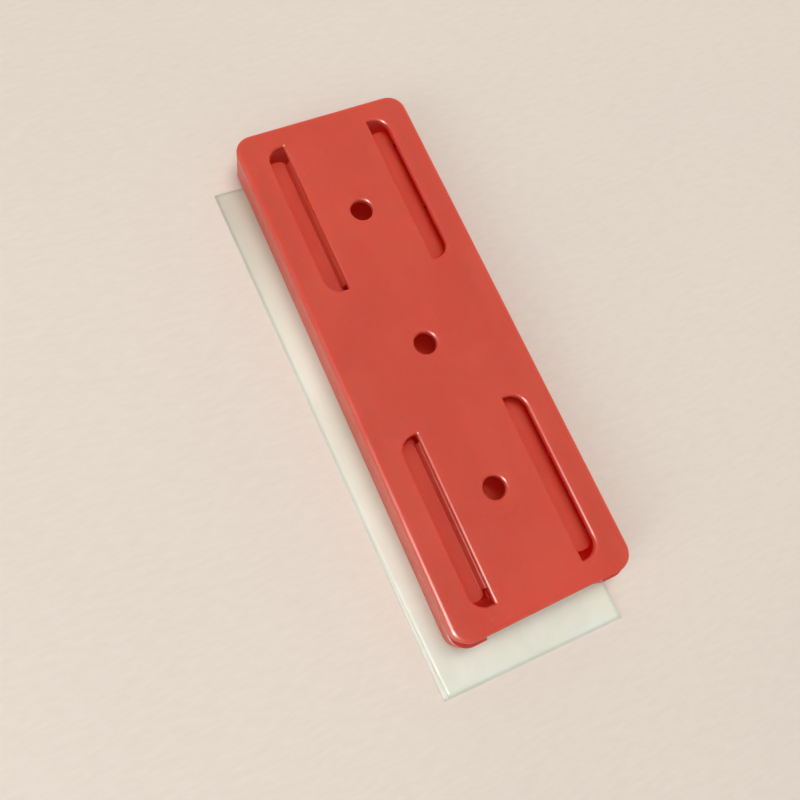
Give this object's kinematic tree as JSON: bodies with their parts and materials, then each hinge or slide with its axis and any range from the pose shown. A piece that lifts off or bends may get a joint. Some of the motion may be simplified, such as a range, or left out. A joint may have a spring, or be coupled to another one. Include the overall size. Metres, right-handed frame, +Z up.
{
  "type": "slide-together adhesive mount",
  "caption": "Two-part slide-on mount: a slotted, drilled cover plate hooks under the rails of a base plate stuck to an adhesive film with its release liner.",
  "frame": {"origin": "middle of the two plates, on the underside of the release liner", "axes": "+Z up through the plates, +Y along their length in the direction the cover slides off, +X across them"},
  "size_m": [0.0477, 0.127, 0.0094],
  "materials": {
    "cover_plastic": "satin",
    "base_plastic": "satin",
    "film": "matte",
    "liner": "satin"
  },
  "bodies": {
    "liner": {"release_liner": "liner"},
    "base": {"rail_plate": "base_plastic", "adhesive_film": "film"},
    "cover": {"slotted_plate": "cover_plastic"}
  },
  "joints": [
    {"name": "liner_peel", "type": "hinge", "parent": "liner", "child": "base", "pos_m": [0, -0.069, 0.0002], "axis": [1, 0, 0], "range_deg": [0, 70]},
    {"name": "cover_slide", "type": "slide", "parent": "base", "child": "cover", "axis": [0, 1, 0], "range_m": [0, 0.103]}
  ]
}
